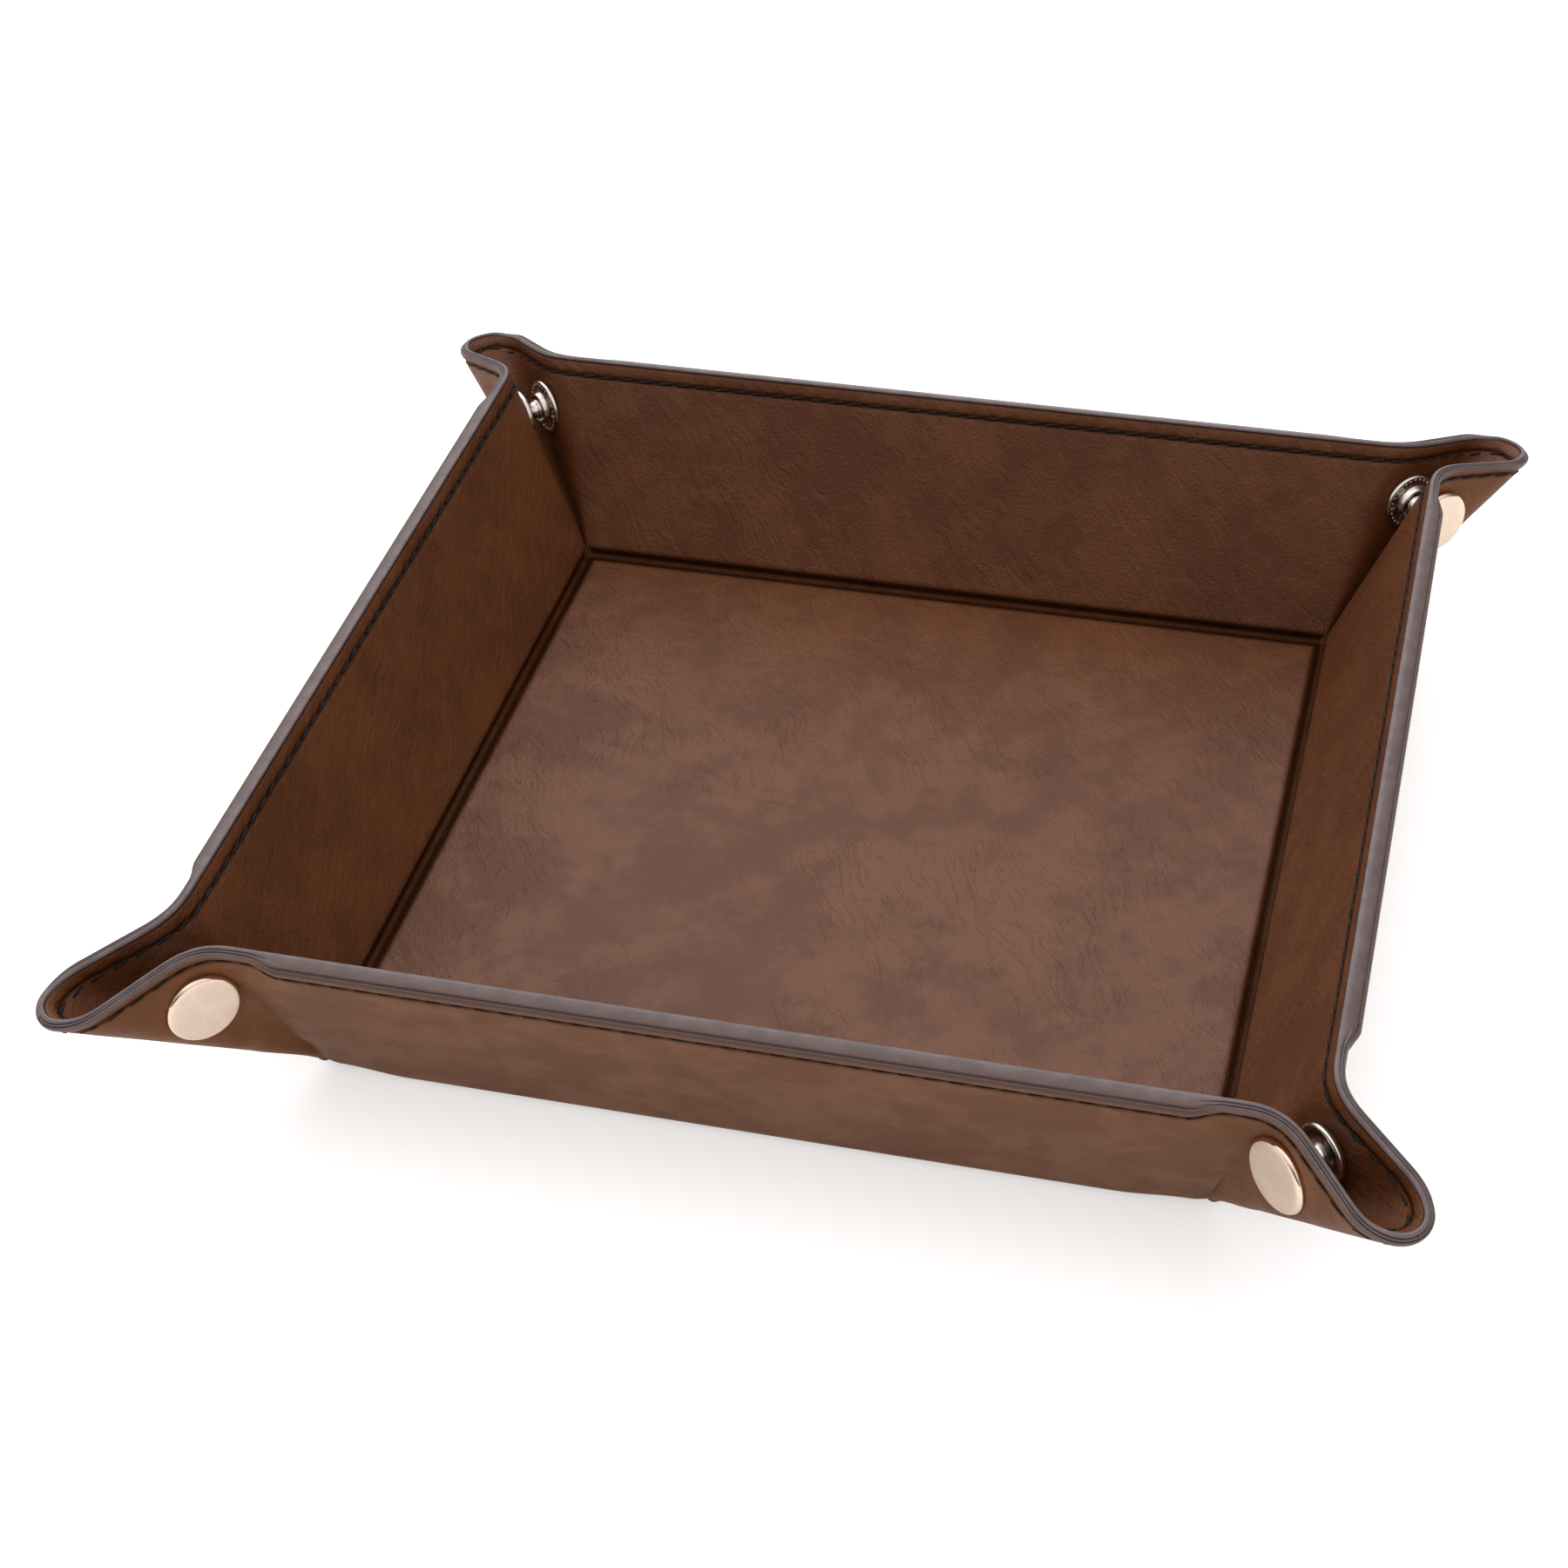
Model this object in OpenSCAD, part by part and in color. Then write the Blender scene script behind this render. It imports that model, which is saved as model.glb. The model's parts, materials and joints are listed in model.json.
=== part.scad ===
// Snap-up leatherette dice tray.
// The tray is a flat square sheet of two leatherette layers with stiff boards between them.
// Four walls fold up on creases. Each corner of the sheet is pinched outward into an ear:
// two flanks, closed with a press snap, joined by a rounded nose on the diagonal.
// Every layer is drawn in the flat sheet and then carried to its place by the folds.
// Origin: centre of the underside. +Z is up and the front wall faces -Y.

/* [Tray] */
// Floor width between opposite creases, at the inner surface
base_w = 149; // [110:1:200]
// Wall height along the slope, from crease to rim
wall_h = 39.8; // [34:0.2:50]
// Lean of the walls, measured up from the table
wall_tilt = 65; // [60:0.5:66]
// Corner radius of the flat sheet
sheet_r = 6; // [2:0.5:12]

/* [Layers] */
// Thickness of the inner lining
lining_t = 0.9; // [0.6:0.1:1.4]
// Thickness of the outer skin
skin_t = 1.1; // [0.6:0.1:1.4]
// Thickness of the stiffener boards
board_t = 1.6; // [1:0.1:3]

/* [Ears] */
// Angle from the wall's end to the first ear fold, seen from the inner corner
flank_fold_at = 15.5; // [13:0.5:16]
// Angle from the wall's end to the nose fold, seen from the inner corner
nose_fold_at = 40.5; // [39:0.5:41]
// Half width of the soft gap left along each ear fold
fold_gap = 1.2; // [1:0.1:2]
// Clearance between each nose half and the diagonal
nose_gap = 0.5; // [0.3:0.1:1]

/* [Snaps] */
// Distance of the snap beyond the wall's end, in the flat sheet
snap_x = 14.5; // [12:0.5:16]
// Distance of the snap above the crease, in the flat sheet
snap_y = 28.2; // [26:0.2:30]
// Diameter of the snap caps
cap_d = 12.5; // [10:0.5:13]
// Height of a cap above the leatherette
cap_h = 1.8; // [1:0.1:2.5]
// Diameter of the socket and of the stud base
socket_d = 11; // [9:0.5:12]

/* [Stitching] */
// Distance of the stitch line from the rim
stitch_in = 3.5; // [2.5:0.1:5]
// Diameter of the thread
thread_d = 0.6; // [0.4:0.1:0.8]

/* [Hidden] */
$fn = 64;
half = base_w / 2;
sheet_w = base_w + 2 * wall_h;
deck = lining_t + board_t + skin_t;
ear_t = lining_t + skin_t;
front = 0;
right = 1;
back = 2;
left = 3;
first = 0;
second = 1;
diagonal = 45;
reach = 2 * wall_h;

// Boards stop short of the creases and of the rim
board_inset = 2;
board_rim = 1.2;
crease_gap = 0.3;
root_r = 7;

// Fold axes lie a little off the inner surface, as in a bent sheet of real thickness
flank_fold_depth = 1.4;
nose_fold_depth = 1.3;

// Thread sits in its groove with a little air around it
thread_slack = 0.02;

// Snap details: heights are distances along the snap's own axis
snap_seat = 0.25;
snap_slack = 0.15;
barrel_d = 3.4;
barrel_into = 0.8;
socket_lip = 0.9;
socket_floor = 0.8;
stud_d = 4.4;
stud_base_d = socket_d - 1;
stud_base_t = 1.3;
stud_reach = 2.1;
bore_slack = 0.25;

LEATHER = "#4e2d1e";
LINING = "#6c5044";
BOARD = "#8b857b";
METAL = "#d9c3ad";
THREAD = "#2b2730";

// ---- Directions in the flat sheet, seen from the front wall's left inner corner ----

// A line fanned out from the corner, a degrees past the wall's end
function fan(a) = [-sin(a), -cos(a), 0];
function across(a) = [-cos(a), sin(a), 0];
function unit(v) = v / norm(v);
function turned(v, axis, a) =
    v * cos(a) + cross(axis, v) * sin(a) + axis * (axis * v) * (1 - cos(a));
function turn_between(axis, u, v) =
    let (p = u - axis * (axis * u), q = v - axis * (axis * v))
    atan2(cross(p, q) * axis, p * q);

// ---- Ear folds that bring the nose square onto the diagonal plane of the tray ----

up = [0, 0, 1];
flank_axis = unit(fan(flank_fold_at) - tan(flank_fold_depth) * up);
nose_axis_flat = unit(fan(nose_fold_at) + tan(nose_fold_depth) * up);
diagonal_normal = [1, -cos(wall_tilt), -sin(wall_tilt)] / sqrt(2);

// The two fold axes and the diagonal plane make a spherical triangle
flank_off = asin(flank_axis * diagonal_normal);
nose_off = asin(-nose_axis_flat * across(diagonal));
flank_span = acos(flank_axis * nose_axis_flat);
swing = acos((cos(flank_span) - sin(flank_off) * sin(nose_off)) / (cos(flank_off) * cos(nose_off)));
flank_foot = unit(flank_axis - sin(flank_off) * diagonal_normal);
nose_foot = turned(flank_foot, diagonal_normal, swing);
nose_axis = cos(nose_off) * nose_foot + sin(nose_off) * diagonal_normal;
flank_turn = turn_between(flank_axis, nose_axis_flat, nose_axis);
nose_turn = turn_between(nose_axis, turned(across(diagonal), flank_axis, flank_turn), -diagonal_normal);

// ---- The snap's axis crosses the diagonal plane at right angles ----

snap_flat = [-snap_x, -snap_y, 0];
snap_folded = turned(snap_flat, flank_axis, flank_turn);
snap_half_gap = snap_folded * diagonal_normal;
snap_foot = snap_folded - snap_half_gap * diagonal_normal;
flank_normal = turned(up, flank_axis, flank_turn);
snap_lean = acos(-flank_normal * diagonal_normal);
snap_outer = snap_half_gap + ear_t / cos(snap_lean);

// ---- Placement ----

module at_wall(wall) rotate(90 * wall) children();

module at_end(end) mirror([end, 0, 0]) children();

module fold_wall()
    translate([0, -half, deck])
        rotate([-wall_tilt, 0, 0])
            translate([0, half, -deck])
                children();

module at_corner() translate([-half, -half, deck]) children();

module fold_flank()
    fold_wall()
        at_corner()
            rotate(flank_turn, flank_axis)
                children();

module fold_nose()
    fold_flank()
        rotate(nose_turn, nose_axis_flat)
            children();

// Z runs along the snap, from the diagonal plane out through the flank
module at_snap()
    at_corner()
        rotate([-wall_tilt, 0, 0])
            translate(snap_foot)
                multmatrix(frame_along(diagonal_normal))
                    children();

function frame_along(z) =
    let (x = unit(cross(up, z)), y = cross(z, x))
    [[x[0], y[0], z[0], 0], [x[1], y[1], z[1], 0], [x[2], y[2], z[2], 0], [0, 0, 0, 1]];

// ---- Outlines in the flat sheet ----

module sheet_outline() rounded_square(sheet_w, sheet_r);

module rounded_square(w, r) {
    square([w, w - 2 * r], center = true);
    square([w - 2 * r, w], center = true);
    for (x = [-1, 1], y = [-1, 1])
        translate([x, y] * (w / 2 - r))
            circle(r);
}

module fan_wedge(a, b)
    polygon([[0, 0], reach * [fan(a).x, fan(a).y], reach * [fan(b).x, fan(b).y]]);

module fan_strip(a, w)
    rotate(-90 - a)
        translate([-w, -w])
            square([reach, 2 * w]);

module wall_outline()
    difference() {
        intersection() {
            sheet_outline();
            union() {
                translate([-half, -half - reach])
                    square([base_w, reach]);
                for (end = [first, second])
                    mirror([end, 0])
                        translate([-half, -half])
                            fan_wedge(0, flank_fold_at);
            }
        }
        translate([-half - reach, -half - crease_gap])
            square([2 * (half + reach), base_w]);
        for (end = [first, second])
            mirror([end, 0])
                translate([-half, -half])
                    fan_strip(flank_fold_at, fold_gap);
    }

module flank_outline()
    difference() {
        intersection() {
            translate([half, half])
                sheet_outline();
            fan_wedge(flank_fold_at, nose_fold_at);
        }
        circle(root_r);
        fan_strip(flank_fold_at, fold_gap);
        fan_strip(nose_fold_at, crease_gap);
    }

module nose_outline()
    difference() {
        intersection() {
            translate([half, half])
                sheet_outline();
            fan_wedge(nose_fold_at, diagonal);
        }
        circle(root_r);
        fan_strip(nose_fold_at, crease_gap);
        fan_strip(diagonal, nose_gap);
    }

module layer(z0, t)
    translate([0, 0, z0])
        linear_extrude(t)
            children();

// ---- Floor ----

module base_board()
    color(BOARD)
        layer(skin_t, board_t)
            square(base_w - 2 * board_inset, center = true);

module base_skin()
    color(LEATHER)
        layer(0, skin_t)
            square(base_w - 2 * crease_gap, center = true);

module base_lining()
    color(LINING)
        layer(deck - lining_t, lining_t)
            square(base_w - 2 * crease_gap, center = true);

// ---- Walls ----

module wall_board_block(grow)
    translate([-half + board_inset - grow, -half - wall_h + board_rim - grow, skin_t])
        cube([base_w - 2 * board_inset + 2 * grow, wall_h - board_rim - board_inset + 2 * grow, board_t]);

module wall_board(wall)
    color(BOARD)
        at_wall(wall)
            fold_wall()
                wall_board_block(0);

// The skin wraps the board's outer face and steps in to meet the lining around it
module wall_skin(wall)
    color(LEATHER)
        at_wall(wall)
            fold_wall()
                difference() {
                    union() {
                        layer(deck - ear_t, skin_t)
                            wall_outline();
                        layer(0, skin_t + board_t)
                            intersection() {
                                wall_outline();
                                translate([0, -half - wall_h / 2])
                                    square([base_w - board_inset, wall_h], center = true);
                            }
                    }
                    wall_board_block(crease_gap / 2);
                    stitch_bar(0, thread_d);
                }

module wall_lining(wall)
    color(LINING)
        at_wall(wall)
            fold_wall()
                difference() {
                    layer(deck - lining_t, lining_t)
                        wall_outline();
                    stitch_bar(deck, thread_d);
                }

// One straight run of thread, half sunk in the face at height z
module stitch_bar(z, d)
    translate([-half + board_inset, -half - wall_h + stitch_in, z])
        rotate([0, 90, 0])
            cylinder(d = d, h = base_w - 2 * board_inset);

// Needle thread on the inner face and bobbin thread on the outer face
module wall_stitching(wall)
    color(THREAD)
        at_wall(wall)
            fold_wall()
                for (z = [0, deck])
                    stitch_bar(z, thread_d - 2 * thread_slack);

// ---- Ears ----

// Room for the snap: a hole for its barrel and a pressed seat on each face
module snap_room() {
    cylinder(d = barrel_d + 2 * snap_slack, h = snap_outer + ear_t);
    cylinder(d = socket_d + 2 * snap_slack, h = snap_half_gap + snap_seat);
    translate([0, 0, snap_outer - snap_seat])
        cylinder(d = cap_d + 2 * snap_slack, h = ear_t);
}

module flank_skin(wall, end)
    color(LEATHER)
        at_wall(wall) at_end(end)
            difference() {
                fold_flank()
                    layer(-ear_t, skin_t)
                        flank_outline();
                at_snap() snap_room();
            }

module flank_lining(wall, end)
    color(LINING)
        at_wall(wall) at_end(end)
            difference() {
                fold_flank()
                    layer(-lining_t, lining_t)
                        flank_outline();
                at_snap() snap_room();
            }

module nose(wall, end)
    color(LEATHER)
        at_wall(wall) at_end(end)
            fold_nose()
                layer(-ear_t, ear_t)
                    nose_outline();

// ---- Snaps ----

// Domed cap with a rolled edge; its barrel passes through the flank
module snap_cap(wall, end)
    color(METAL)
        at_wall(wall) at_end(end) at_snap()
            translate([0, 0, snap_outer - snap_seat])
                union() {
                    rotate_extrude()
                        cap_profile();
                    translate([0, 0, -ear_t - barrel_into + snap_seat])
                        cylinder(d = barrel_d, h = ear_t + barrel_into);
                }

module cap_profile() {
    rim = cap_h / 2;
    square([cap_d / 2 - rim, cap_h]);
    translate([cap_d / 2 - rim, rim])
        intersection() {
            circle(rim);
            translate([0, -rim])
                square([rim, cap_h]);
        }
}

// Ring-shaped socket, open towards the stud
module snap_socket(wall, end)
    color(METAL)
        at_wall(wall) at_end(end) at_snap()
            difference() {
                translate([0, 0, socket_lip])
                    cylinder(d = socket_d, h = snap_half_gap + snap_seat - socket_lip);
                cylinder(d = stud_d + 2 * bore_slack, h = snap_half_gap - socket_floor);
                cylinder(d = barrel_d + 2 * snap_slack, h = 2 * snap_half_gap);
            }

// Stud on a round base; it reaches across the diagonal plane into the socket
module snap_stud(wall, end)
    color(METAL)
        at_wall(wall) at_end(end) at_snap()
            difference() {
                union() {
                    translate([0, 0, snap_half_gap + snap_seat - stud_base_t])
                        cylinder(d = stud_base_d, h = stud_base_t);
                    translate([0, 0, -stud_reach])
                        cylinder(d = stud_d, h = stud_reach + snap_half_gap);
                }
                translate([0, 0, snap_half_gap - barrel_into - snap_slack])
                    cylinder(d = barrel_d + 2 * snap_slack, h = snap_half_gap);
            }

// ---- Nodes ----

base_board();
base_skin();
base_lining();

wall_board(front);  // front_board
wall_skin(front);  // front_skin
wall_lining(front);  // front_lining
wall_stitching(front);  // front_stitching
wall_board(right);  // right_board
wall_skin(right);  // right_skin
wall_lining(right);  // right_lining
wall_stitching(right);  // right_stitching
wall_board(back);  // back_board
wall_skin(back);  // back_skin
wall_lining(back);  // back_lining
wall_stitching(back);  // back_stitching
wall_board(left);  // left_board
wall_skin(left);  // left_skin
wall_lining(left);  // left_lining
wall_stitching(left);  // left_stitching

flank_skin(front, first);  // front_left_flank_skin
flank_lining(front, first);  // front_left_flank_lining
nose(front, first);  // front_left_nose
flank_skin(front, second);  // front_right_flank_skin
flank_lining(front, second);  // front_right_flank_lining
nose(front, second);  // front_right_nose
flank_skin(right, first);  // right_front_flank_skin
flank_lining(right, first);  // right_front_flank_lining
nose(right, first);  // right_front_nose
flank_skin(right, second);  // right_back_flank_skin
flank_lining(right, second);  // right_back_flank_lining
nose(right, second);  // right_back_nose
flank_skin(back, first);  // back_right_flank_skin
flank_lining(back, first);  // back_right_flank_lining
nose(back, first);  // back_right_nose
flank_skin(back, second);  // back_left_flank_skin
flank_lining(back, second);  // back_left_flank_lining
nose(back, second);  // back_left_nose
flank_skin(left, first);  // left_back_flank_skin
flank_lining(left, first);  // left_back_flank_lining
nose(left, first);  // left_back_nose
flank_skin(left, second);  // left_front_flank_skin
flank_lining(left, second);  // left_front_flank_lining
nose(left, second);  // left_front_nose

snap_cap(front, first);  // front_left_cap
snap_socket(front, first);  // front_left_socket
snap_stud(left, second);  // left_front_stud
snap_cap(left, second);  // left_front_cap
snap_cap(front, second);  // front_right_cap
snap_socket(front, second);  // front_right_socket
snap_stud(right, first);  // right_front_stud
snap_cap(right, first);  // right_front_cap
snap_cap(back, first);  // back_right_cap
snap_socket(back, first);  // back_right_socket
snap_stud(right, second);  // right_back_stud
snap_cap(right, second);  // right_back_cap
snap_cap(back, second);  // back_left_cap
snap_socket(back, second);  // back_left_socket
snap_stud(left, first);  // left_back_stud
snap_cap(left, first);  // left_back_cap
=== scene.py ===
"""Looks of the snap-up leatherette dice tray.

The tray is one flat sheet: a lining and a skin, with boards between them. Every leather piece
here is a loft of the sheet's own cross-section, carried to its place by the folds that the
packed joints describe. Lengths are in metres; MM turns a millimetre value into metres.
"""

import json
import math

import bpy
import numpy as np
from mathutils import Matrix, Vector


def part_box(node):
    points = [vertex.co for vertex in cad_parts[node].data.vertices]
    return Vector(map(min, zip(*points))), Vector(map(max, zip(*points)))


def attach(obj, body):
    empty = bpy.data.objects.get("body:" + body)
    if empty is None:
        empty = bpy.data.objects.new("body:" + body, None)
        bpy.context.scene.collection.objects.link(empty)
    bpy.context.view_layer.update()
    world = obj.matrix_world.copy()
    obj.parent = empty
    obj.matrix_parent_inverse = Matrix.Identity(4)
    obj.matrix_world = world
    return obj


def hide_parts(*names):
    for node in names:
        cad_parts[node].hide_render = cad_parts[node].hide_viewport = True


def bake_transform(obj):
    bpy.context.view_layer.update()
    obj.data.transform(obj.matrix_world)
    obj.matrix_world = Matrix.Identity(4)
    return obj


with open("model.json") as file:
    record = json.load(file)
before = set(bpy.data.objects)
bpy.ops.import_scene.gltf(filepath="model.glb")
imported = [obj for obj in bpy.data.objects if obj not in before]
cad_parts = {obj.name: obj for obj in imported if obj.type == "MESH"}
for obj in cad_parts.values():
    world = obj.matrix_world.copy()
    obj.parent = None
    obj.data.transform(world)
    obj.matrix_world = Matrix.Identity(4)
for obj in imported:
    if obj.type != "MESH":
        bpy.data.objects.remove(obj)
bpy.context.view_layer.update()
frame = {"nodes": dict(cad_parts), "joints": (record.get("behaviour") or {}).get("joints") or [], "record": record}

MM = 0.001
UP = np.array([0.0, 0.0, 1.0])


# ---- The frame: folds, walls and sizes ----

joints = {joint["name"]: joint for joint in frame["joints"]}
couplings = {c["joint"]: c["ratio"] for c in frame["record"]["behaviour"]["couplings"]}
TILT = math.radians(joints["front_wall_fold"]["range_deg"][1])


def box_size(node, axis):
    low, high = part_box(node)
    return high[axis] - low[axis]


CREASE_Y = -joints["front_wall_fold"]["pos_m"][1]
DECK = joints["front_wall_fold"]["pos_m"][2]
EAR_T = box_size("base_lining", 2) + box_size("base_skin", 2)
WALL_H = (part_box("front_lining")[1].z - DECK) / math.sin(TILT)

# Rounded corner of the flat sheet
SHEET_R = 6 * MM

# The wall pieces stop short of the inner corners by SEAM_X, and of the creases by SEAM_Y
SEAM_X = 4 * MM
SEAM_Y = 3 * MM

# The sheet thins from board thickness to bare leather between these places along a wall
BOARD_END = CREASE_Y - 3.4 * MM
BARE_FROM = CREASE_Y + 2.6 * MM

# Flat angles: width of an ear's first bend, start of its nose bend, and where the two pieces meet
FLANK_BEND = math.radians(19)
NOSE_FROM = math.radians(34)
EAR_SEAM = math.radians(28)
DIAGONAL = math.radians(45)
FAN_ANGLES = np.linspace(0, DIAGONAL, 226)
FAN_STEP = FAN_ANGLES[1]

# Share of the nose bend over which it tightens; the rest is round
NOSE_EASE = 0.4

# Half widths to each side of a fold line, for the points that bend_ends gives
FLANK_GIVE = 3.5 * MM
NOSE_GIVE = 2.2 * MM

# Crease: tangent length of the bend at the inner surface
CREASE_HALF = 1.6 * MM
CREASE_R = CREASE_HALF / math.tan(TILT / 2)

# Parts of a cross-section; each is also the slot of its material
LINING, EDGE, SKIN = 0, 1, 2

# Stitching
NEEDLE_IN = 3.5 * MM
BOBBIN_IN = 2.3 * MM
STITCH_PITCH = 4.0 * MM
STITCH_LENGTH = {LINING: 3.2 * MM, SKIN: 3.7 * MM}
THREAD_R = {LINING: 0.28 * MM, SKIN: 0.19 * MM}
SEAM_DIP = 0.25 * MM

# The leather knob at each inner corner
KNOB_R = 2.0 * MM

# Height of the slow unevenness, depth of the dimple under a snap, and mesh size of the panels
WALL_SOFTNESS = 0.10 * MM
FLOOR_SOFTNESS = 0.16 * MM
SNAP_DIMPLE = 0.3 * MM
PANEL_STEP = 1.6 * MM


def unit(v):
    return v / np.linalg.norm(v)


def rotation(axis, angle):
    """Matrix that turns by angle about axis."""
    x, y, z = unit(np.array(axis, float))
    cross = np.array([[0, -z, y], [z, 0, -x], [-y, x, 0]])
    return np.eye(3) + math.sin(angle) * cross + (1 - math.cos(angle)) * cross @ cross


def part_turn(start, end, share):
    """A share of the single turn that carries frame start to frame end."""
    turn = end @ start.T
    angle = math.acos(np.clip((np.trace(turn) - 1) / 2, -1, 1))
    axis = [turn[2, 1] - turn[1, 2], turn[0, 2] - turn[2, 0], turn[1, 0] - turn[0, 1]]
    return rotation(axis, angle * share) @ start


def smooth(low, high, value):
    """Soft step from 0 at low to 1 at high; low may be the larger of the two."""
    t = min(max((value - low) / (high - low), 0), 1)
    return t * t * (3 - 2 * t)


def nose_share(angle):
    """How much of the nose bend is done at a flat angle."""
    way = max(0, (angle - NOSE_FROM) / (DIAGONAL - NOSE_FROM))
    done = way ** 2 / (2 * NOSE_EASE) if way < NOSE_EASE else way - NOSE_EASE / 2
    return done / (1 - NOSE_EASE / 2)


class Wall:
    """A raised wall: its crease, the way up its slope and its outward normal."""

    def __init__(self, name):
        fold = joints[name + "_wall_fold"]
        self.name = name
        self.body = name + "_wall"
        self.middle = np.array(fold["pos_m"])
        self.along = np.array(fold["axis"])
        self.flat_out = np.cross(self.along, UP)
        self.up = rotation(self.along, -TILT) @ self.flat_out
        self.out = np.cross(self.along, self.up)


class Ear:
    """Half an ear: the flank and the nose half beyond one end, -1 or 1, of a wall."""

    def __init__(self, wall, name, end):
        self.wall = wall
        self.name = name
        self.end = end
        self.side = end * wall.along
        self.flank_body = name + "_flank"
        self.nose_body = name + "_nose"
        flank = joints[name + "_flank_fold"]
        nose = joints[name + "_nose_fold"]
        self.corner = np.array(flank["pos_m"])
        self.flank_turn = rotation(flank["axis"], -couplings[flank["name"]] * TILT)
        self.nose_turn = rotation(nose["axis"], -couplings[nose["name"]] * TILT) @ self.flank_turn
        self.flank_at = self.flat_angle(flank["axis"])
        self.nose_at = self.flat_angle(self.flank_turn.T @ np.array(nose["axis"]))
        self.normal = unit(wall.flat_out - self.side)
        self.frames = self.bent_frames()

    def flat_angle(self, axis):
        """Angle of a fold line from the wall's end, seen in the wall's own plane."""
        return math.atan2(abs(axis @ self.side), abs(axis @ self.wall.up))

    def fan(self, angle):
        """Frame of the unbent sheet: away from the corner, across, and outward."""
        away = self.wall.up * math.cos(angle) + self.side * math.sin(angle)
        across = -self.wall.up * math.sin(angle) + self.side * math.cos(angle)
        return np.column_stack([away, across, self.wall.out])

    def tip_frame(self):
        """Frame at the diagonal, square to the plane where the two halves of the ear meet."""
        away = (self.nose_turn @ self.fan(DIAGONAL))[:, 0]
        away = unit(away - self.normal * (away @ self.normal))
        across = -self.normal
        return np.column_stack([away, across, np.cross(across, away) * self.end])

    def fold_turn(self, angle, before, after):
        """Signed turn about a fold line between the frames before and after it."""
        turn = (before @ self.fan(angle)).T @ after @ self.fan(angle)
        return math.atan2(turn[2, 1], turn[1, 1])

    def bent_frames(self):
        """Frames of the folded sheet at FAN_ANGLES, bent about lines through the corner.

        The small drift of each soft bend is spread over it, so that the flank lies in its folded
        plane and the tip meets the other half.
        """
        flank_bend = self.fold_turn(self.flank_at, np.eye(3), self.flank_turn)
        nose_bend = self.fold_turn(self.nose_at, self.flank_turn, self.nose_turn)
        flank_from = self.flank_at - FLANK_BEND / 2
        flank = np.array([smooth(flank_from, flank_from + FLANK_BEND, angle) for angle in FAN_ANGLES])
        nose = np.array([nose_share(angle) for angle in FAN_ANGLES])
        frames = [self.fan(0)]
        for bend in np.diff(flank * flank_bend + nose * nose_bend):
            frames.append(frames[-1] @ rotation((1, 0, 0), bend) @ rotation((0, 0, 1), FAN_STEP))
        seam = np.searchsorted(FAN_ANGLES, EAR_SEAM)
        drift = self.flank_turn @ self.fan(FAN_ANGLES[seam]) @ frames[seam].T
        frames = [part_turn(np.eye(3), drift, share) @ free for share, free in zip(flank, frames)]
        drift = self.tip_frame() @ frames[-1].T
        return [part_turn(np.eye(3), drift, share) @ free for share, free in zip(nose, frames)]

    def frame_at(self, angle):
        """Frame of the folded sheet at a flat angle past the wall's end."""
        step = min(int(angle / FAN_STEP), len(FAN_ANGLES) - 2)
        return part_turn(self.frames[step], self.frames[step + 1], angle / FAN_STEP - step)

    def bend_ends(self, angle, give):
        """Start and end points across the fold at a flat angle, a half width to each side of it."""
        away, across, _ = self.frame_at(angle).T
        centre = self.corner + away * WALL_H * 0.8
        return centre - across * give, centre + across * give


walls = [Wall(name) for name in ("front", "right", "back", "left")]
EAR_NAMES = {
    "front": ("front_left", "front_right"),
    "right": ("right_front", "right_back"),
    "back": ("back_right", "back_left"),
    "left": ("left_back", "left_front"),
}
ears = [Ear(wall, name, end) for wall in walls for name, end in zip(EAR_NAMES[wall.name], (-1, 1))]


# ---- Snap places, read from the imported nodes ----

def node_points(node):
    """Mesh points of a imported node."""
    return np.array([v.co[:] for v in frame["nodes"][node].data.vertices])


def snap_place(node, ear):
    """Centre of a snap piece, its lowest and highest reach along its axis, and its radius."""
    points = node_points(node)
    sideways = unit(ear.wall.flat_out + ear.side)
    across = points @ sideways
    heights = points @ ear.normal
    middle = (across.min() + across.max()) / 2
    level = (points[:, 2].min() + points[:, 2].max()) / 2
    on_axis = sideways * middle + UP * level
    return on_axis, heights.min(), heights.max(), (across.max() - across.min()) / 2


snap_centre = {ear.name: snap_place(ear.name + "_cap", ear)[0] for ear in ears}


# ---- The flat sheet ----

def edge_radius(angle, inset):
    """Distance from the inner corner to a line that follows the sheet's edge, set in from it."""
    size = WALL_H - inset
    radius = max(SHEET_R - inset, 0)
    centre = size - radius
    if size * math.tan(angle) <= centre:
        return size / math.cos(angle)
    along = centre * (math.cos(angle) + math.sin(angle))
    across = centre * (math.cos(angle) - math.sin(angle))
    return along + math.sqrt(max(radius ** 2 - across ** 2, 0))


def edge_table(inset, steps=180):
    """Flat angles, and the distance run along the inset line from the wall's end to each."""
    angles = np.linspace(0, DIAGONAL, steps)
    radii = np.array([edge_radius(a, inset) for a in angles])
    points = np.column_stack([radii * np.sin(angles), radii * np.cos(angles)])
    runs = np.concatenate([[0], np.cumsum(np.linalg.norm(np.diff(points, axis=0), axis=1))])
    return angles, runs


RUN_ANGLES, RUNS = edge_table(NEEDLE_IN)
STITCHES_PER_HALF = round((CREASE_Y + RUNS[-1]) / STITCH_PITCH)
PITCH = (CREASE_Y + RUNS[-1]) / STITCHES_PER_HALF


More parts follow.
